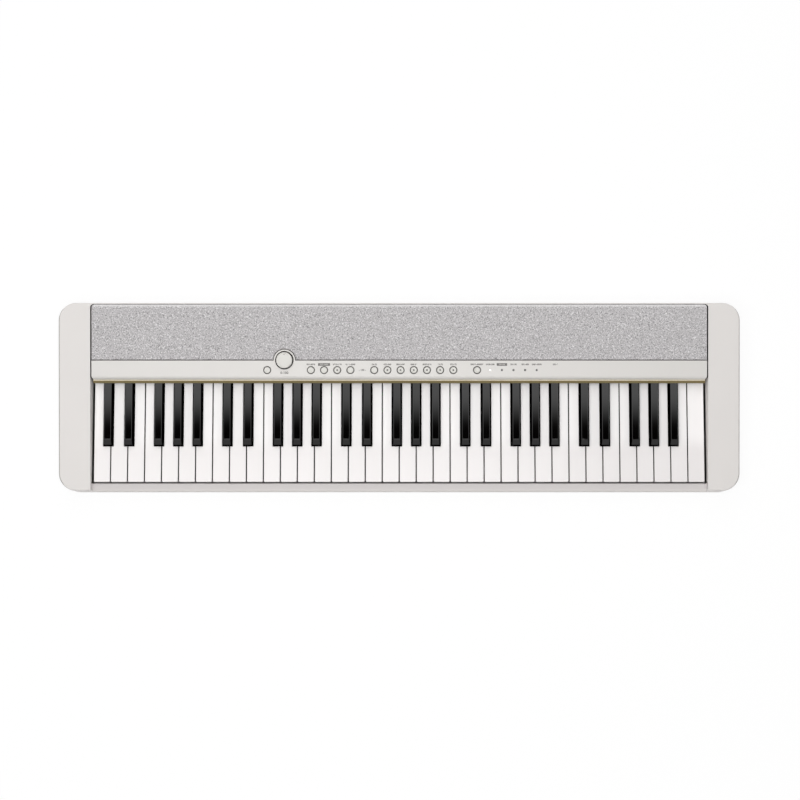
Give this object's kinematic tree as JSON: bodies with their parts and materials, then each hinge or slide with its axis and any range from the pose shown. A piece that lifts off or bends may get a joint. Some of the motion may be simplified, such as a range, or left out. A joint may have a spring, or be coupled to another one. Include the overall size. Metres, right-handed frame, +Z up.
{
  "type": "portable keyboard",
  "caption": "Slim portable keyboard with moulded key combs that press, sprung buttons, a volume knob, a cloth speaker grille and a battery bay below.",
  "frame": {"origin": "on the table, under the middle of the case's box", "axes": "+X to the player's right along the keys, +Y from the player to the rear, +Z up"},
  "size_m": [0.93, 0.2554, 0.0727],
  "materials": {
    "case_white": "fine matt moulding grain",
    "panel_white": "satin moulding",
    "grille_grey": "speckled speaker cloth",
    "key_white": "glossy white",
    "key_black": "satin black",
    "felt_beige": "pressed felt",
    "rubber_grey": "dark foot rubber",
    "bed_plastic": "dark moulding",
    "board_green": "circuit board laminate",
    "contact_rubber": "silicone contact rubber",
    "lens_clear": "clear light pipe",
    "speaker_black": "paper cone and pressed frame",
    "contact_metal": "plated spring steel"
  },
  "bodies": {
    "case": {"battery_contact_left": "contact_metal", "battery_contact_right": "contact_metal", "contact_board": "board_green", "contact_rubber": "contact_rubber", "control_panel": "panel_white", "felt_strip": "felt_beige", "foot_front_left": "rubber_grey", "foot_front_right": "rubber_grey", "foot_rear_left": "rubber_grey", "foot_rear_right": "rubber_grey", "grille_cloth": "grille_grey", "grille_frame": "bed_plastic", "indicator_lens": "lens_clear", "key_chassis": "bed_plastic", "lower_case": "case_white", "main_board": "board_green", "panel_board": "board_green", "speaker_left": "speaker_black", "speaker_right": "speaker_black", "upper_case": "case_white"},
    "key_a4": {"key_a4": "key_white"},
    "key_a_sharp4": {"key_a_sharp4": "key_black"},
    "key_b4": {"key_b4": "key_white"},
    "key_c4": {"key_c4": "key_white"},
    "key_c7": {"key_c7": "key_white"},
    "key_c_sharp4": {"key_c_sharp4": "key_black"},
    "key_d4": {"key_d4": "key_white"},
    "key_d_sharp4": {"key_d_sharp4": "key_black"},
    "key_e4": {"key_e4": "key_white"},
    "key_f4": {"key_f4": "key_white"},
    "key_f_sharp4": {"key_f_sharp4": "key_black"},
    "key_g4": {"key_g4": "key_white"},
    "key_g_sharp4": {"key_g_sharp4": "key_black"},
    "keys_black2": {"keys_black2": "key_black"},
    "keys_black3": {"keys_black3": "key_black"},
    "keys_black5": {"keys_black5": "key_black"},
    "keys_black6": {"keys_black6": "key_black"},
    "keys_cegb2": {"keys_cegb2": "key_white"},
    "keys_cegb3": {"keys_cegb3": "key_white"},
    "keys_cegb5": {"keys_cegb5": "key_white"},
    "keys_cegb6": {"keys_cegb6": "key_white"},
    "keys_dfa2": {"keys_dfa2": "key_white"},
    "keys_dfa3": {"keys_dfa3": "key_white"},
    "keys_dfa5": {"keys_dfa5": "key_white"},
    "keys_dfa6": {"keys_dfa6": "key_white"},
    "power_button": {"power_button": "panel_white"},
    "button_01": {"button_01": "panel_white"},
    "button_02": {"button_02": "panel_white"},
    "button_03": {"button_03": "panel_white"},
    "button_04": {"button_04": "panel_white"},
    "button_05": {"button_05": "panel_white"},
    "button_06": {"button_06": "panel_white"},
    "button_07": {"button_07": "panel_white"},
    "button_08": {"button_08": "panel_white"},
    "button_09": {"button_09": "panel_white"},
    "button_10": {"button_10": "panel_white"},
    "button_11": {"button_11": "panel_white"},
    "button_12": {"button_12": "panel_white"},
    "volume_knob": {"volume_knob": "panel_white"},
    "battery_door": {"battery_door": "case_white"}
  },
  "joints": [
    {"name": "key_a4_press", "type": "hinge", "parent": "case", "child": "key_a4", "pos_m": [0.03648, 0.05575, 0.0345], "axis": [1, 0, 0], "range_deg": [0, 3.35], "stiffness_Nm_per_rad": 1.2, "springref_deg": -5.73, "deforming": ["contact_rubber"]},
    {"name": "key_a_sharp4_press", "type": "hinge", "parent": "case", "child": "key_a_sharp4", "pos_m": [0.0497, 0.05575, 0.039], "axis": [1, 0, 0], "range_deg": [0, 3.35], "stiffness_Nm_per_rad": 1.2, "springref_deg": -5.73, "deforming": ["contact_rubber"]},
    {"name": "key_b4_press", "type": "hinge", "parent": "case", "child": "key_b4", "pos_m": [0.0632, 0.05575, 0.03], "axis": [1, 0, 0], "range_deg": [0, 3.35], "stiffness_Nm_per_rad": 1.2, "springref_deg": -5.73, "deforming": ["contact_rubber"]},
    {"name": "key_c4_press", "type": "hinge", "parent": "case", "child": "key_c4", "pos_m": [-0.08615, 0.05575, 0.03], "axis": [1, 0, 0], "range_deg": [0, 3.35], "stiffness_Nm_per_rad": 1.2, "springref_deg": -5.73, "deforming": ["contact_rubber"]},
    {"name": "key_c7_press", "type": "hinge", "parent": "case", "child": "key_c7", "pos_m": [0.40687, 0.05575, 0.03], "axis": [1, 0, 0], "range_deg": [0, 3.35], "stiffness_Nm_per_rad": 1.2, "springref_deg": -5.73, "deforming": ["contact_rubber"]},
    {"name": "key_c_sharp4_press", "type": "hinge", "parent": "case", "child": "key_c_sharp4", "pos_m": [-0.07235, 0.05575, 0.039], "axis": [1, 0, 0], "range_deg": [0, 3.35], "stiffness_Nm_per_rad": 1.2, "springref_deg": -5.73, "deforming": ["contact_rubber"]},
    {"name": "key_d4_press", "type": "hinge", "parent": "case", "child": "key_d4", "pos_m": [-0.05813, 0.05575, 0.0345], "axis": [1, 0, 0], "range_deg": [0, 3.35], "stiffness_Nm_per_rad": 1.2, "springref_deg": -5.73, "deforming": ["contact_rubber"]},
    {"name": "key_d_sharp4_press", "type": "hinge", "parent": "case", "child": "key_d_sharp4", "pos_m": [-0.0439, 0.05575, 0.039], "axis": [1, 0, 0], "range_deg": [0, 3.35], "stiffness_Nm_per_rad": 1.2, "springref_deg": -5.73, "deforming": ["contact_rubber"]},
    {"name": "key_e4_press", "type": "hinge", "parent": "case", "child": "key_e4", "pos_m": [-0.0301, 0.05575, 0.03], "axis": [1, 0, 0], "range_deg": [0, 3.35], "stiffness_Nm_per_rad": 1.2, "springref_deg": -5.73, "deforming": ["contact_rubber"]},
    {"name": "key_f4_press", "type": "hinge", "parent": "case", "child": "key_f4", "pos_m": [-0.0167, 0.05575, 0.0345], "axis": [1, 0, 0], "range_deg": [0, 3.35], "stiffness_Nm_per_rad": 1.2, "springref_deg": -5.73, "deforming": ["contact_rubber"]},
    {"name": "key_f_sharp4_press", "type": "hinge", "parent": "case", "child": "key_f_sharp4", "pos_m": [-0.0032, 0.05575, 0.039], "axis": [1, 0, 0], "range_deg": [0, 3.35], "stiffness_Nm_per_rad": 1.2, "springref_deg": -5.73, "deforming": ["contact_rubber"]},
    {"name": "key_g4_press", "type": "hinge", "parent": "case", "child": "key_g4", "pos_m": [0.01002, 0.05575, 0.03], "axis": [1, 0, 0], "range_deg": [0, 3.35], "stiffness_Nm_per_rad": 1.2, "springref_deg": -5.73, "deforming": ["contact_rubber"]},
    {"name": "key_g_sharp4_press", "type": "hinge", "parent": "case", "child": "key_g_sharp4", "pos_m": [0.02325, 0.05575, 0.039], "axis": [1, 0, 0], "range_deg": [0, 3.35], "stiffness_Nm_per_rad": 1.2, "springref_deg": -5.73, "deforming": ["contact_rubber"]},
    {"name": "keys_black2_press", "type": "hinge", "parent": "case", "child": "keys_black2", "pos_m": [-0.33682, 0.05575, 0.039], "axis": [1, 0, 0], "range_deg": [0, 3.35], "stiffness_Nm_per_rad": 6, "springref_deg": -5.73, "deforming": ["contact_rubber"]},
    {"name": "keys_black3_press", "type": "hinge", "parent": "case", "child": "keys_black3", "pos_m": [-0.17408, 0.05575, 0.039], "axis": [1, 0, 0], "range_deg": [0, 3.35], "stiffness_Nm_per_rad": 6, "springref_deg": -5.73, "deforming": ["contact_rubber"]},
    {"name": "keys_black5_press", "type": "hinge", "parent": "case", "child": "keys_black5", "pos_m": [0.15143, 0.05575, 0.039], "axis": [1, 0, 0], "range_deg": [0, 3.35], "stiffness_Nm_per_rad": 6, "springref_deg": -5.73, "deforming": ["contact_rubber"]},
    {"name": "keys_black6_press", "type": "hinge", "parent": "case", "child": "keys_black6", "pos_m": [0.31417, 0.05575, 0.039], "axis": [1, 0, 0], "range_deg": [0, 3.35], "stiffness_Nm_per_rad": 6, "springref_deg": -5.73, "deforming": ["contact_rubber"]},
    {"name": "keys_cegb2_press", "type": "hinge", "parent": "case", "child": "keys_cegb2", "pos_m": [-0.33698, 0.05575, 0.03], "axis": [1, 0, 0], "range_deg": [0, 3.35], "stiffness_Nm_per_rad": 4.8, "springref_deg": -5.73, "deforming": ["contact_rubber"]},
    {"name": "keys_cegb3_press", "type": "hinge", "parent": "case", "child": "keys_cegb3", "pos_m": [-0.17422, 0.05575, 0.03], "axis": [1, 0, 0], "range_deg": [0, 3.35], "stiffness_Nm_per_rad": 4.8, "springref_deg": -5.73, "deforming": ["contact_rubber"]},
    {"name": "keys_cegb5_press", "type": "hinge", "parent": "case", "child": "keys_cegb5", "pos_m": [0.15127, 0.05575, 0.03], "axis": [1, 0, 0], "range_deg": [0, 3.35], "stiffness_Nm_per_rad": 4.8, "springref_deg": -5.73, "deforming": ["contact_rubber"]},
    {"name": "keys_cegb6_press", "type": "hinge", "parent": "case", "child": "keys_cegb6", "pos_m": [0.31402, 0.05575, 0.03], "axis": [1, 0, 0], "range_deg": [0, 3.35], "stiffness_Nm_per_rad": 4.8, "springref_deg": -5.73, "deforming": ["contact_rubber"]},
    {"name": "keys_dfa2_press", "type": "hinge", "parent": "case", "child": "keys_dfa2", "pos_m": [-0.33632, 0.05575, 0.0345], "axis": [1, 0, 0], "range_deg": [0, 3.35], "stiffness_Nm_per_rad": 3.6, "springref_deg": -5.73, "deforming": ["contact_rubber"]},
    {"name": "keys_dfa3_press", "type": "hinge", "parent": "case", "child": "keys_dfa3", "pos_m": [-0.17358, 0.05575, 0.0345], "axis": [1, 0, 0], "range_deg": [0, 3.35], "stiffness_Nm_per_rad": 3.6, "springref_deg": -5.73, "deforming": ["contact_rubber"]},
    {"name": "keys_dfa5_press", "type": "hinge", "parent": "case", "child": "keys_dfa5", "pos_m": [0.15193, 0.05575, 0.0345], "axis": [1, 0, 0], "range_deg": [0, 3.35], "stiffness_Nm_per_rad": 3.6, "springref_deg": -5.73, "deforming": ["contact_rubber"]},
    {"name": "keys_dfa6_press", "type": "hinge", "parent": "case", "child": "keys_dfa6", "pos_m": [0.31467, 0.05575, 0.0345], "axis": [1, 0, 0], "range_deg": [0, 3.35], "stiffness_Nm_per_rad": 3.6, "springref_deg": -5.73, "deforming": ["contact_rubber"]},
    {"name": "power_button_press", "type": "slide", "parent": "case", "child": "power_button", "axis": [0, 0.1057, -0.9944], "range_m": [0, 0.0007], "stiffness_N_per_m": 300, "springref_m": -0.001},
    {"name": "button_01_press", "type": "slide", "parent": "case", "child": "button_01", "axis": [0, 0.1057, -0.9944], "range_m": [0, 0.0007], "stiffness_N_per_m": 300, "springref_m": -0.001},
    {"name": "button_02_press", "type": "slide", "parent": "case", "child": "button_02", "axis": [0, 0.1057, -0.9944], "range_m": [0, 0.0007], "stiffness_N_per_m": 300, "springref_m": -0.001},
    {"name": "button_03_press", "type": "slide", "parent": "case", "child": "button_03", "axis": [0, 0.1057, -0.9944], "range_m": [0, 0.0007], "stiffness_N_per_m": 300, "springref_m": -0.001},
    {"name": "button_04_press", "type": "slide", "parent": "case", "child": "button_04", "axis": [0, 0.1057, -0.9944], "range_m": [0, 0.0007], "stiffness_N_per_m": 300, "springref_m": -0.001},
    {"name": "button_05_press", "type": "slide", "parent": "case", "child": "button_05", "axis": [0, 0.1057, -0.9944], "range_m": [0, 0.0007], "stiffness_N_per_m": 300, "springref_m": -0.001},
    {"name": "button_06_press", "type": "slide", "parent": "case", "child": "button_06", "axis": [0, 0.1057, -0.9944], "range_m": [0, 0.0007], "stiffness_N_per_m": 300, "springref_m": -0.001},
    {"name": "button_07_press", "type": "slide", "parent": "case", "child": "button_07", "axis": [0, 0.1057, -0.9944], "range_m": [0, 0.0007], "stiffness_N_per_m": 300, "springref_m": -0.001},
    {"name": "button_08_press", "type": "slide", "parent": "case", "child": "button_08", "axis": [0, 0.1057, -0.9944], "range_m": [0, 0.0007], "stiffness_N_per_m": 300, "springref_m": -0.001},
    {"name": "button_09_press", "type": "slide", "parent": "case", "child": "button_09", "axis": [0, 0.1057, -0.9944], "range_m": [0, 0.0007], "stiffness_N_per_m": 300, "springref_m": -0.001},
    {"name": "button_10_press", "type": "slide", "parent": "case", "child": "button_10", "axis": [0, 0.1057, -0.9944], "range_m": [0, 0.0007], "stiffness_N_per_m": 300, "springref_m": -0.001},
    {"name": "button_11_press", "type": "slide", "parent": "case", "child": "button_11", "axis": [0, 0.1057, -0.9944], "range_m": [0, 0.0007], "stiffness_N_per_m": 300, "springref_m": -0.001},
    {"name": "button_12_press", "type": "slide", "parent": "case", "child": "button_12", "axis": [0, 0.1057, -0.9944], "range_m": [0, 0.0007], "stiffness_N_per_m": 300, "springref_m": -0.001},
    {"name": "volume_knob_turn", "type": "hinge", "parent": "case", "child": "volume_knob", "pos_m": [-0.1568, 0.04965, 0.06464], "axis": [0, -0.1057, 0.9944], "range_deg": [-150, 150]},
    {"name": "battery_door_tilt", "type": "hinge", "parent": "case", "child": "battery_door", "pos_m": [0, 0.07325, 0.004], "axis": [-1, 0, 0], "range_deg": [0, 80]}
  ]
}
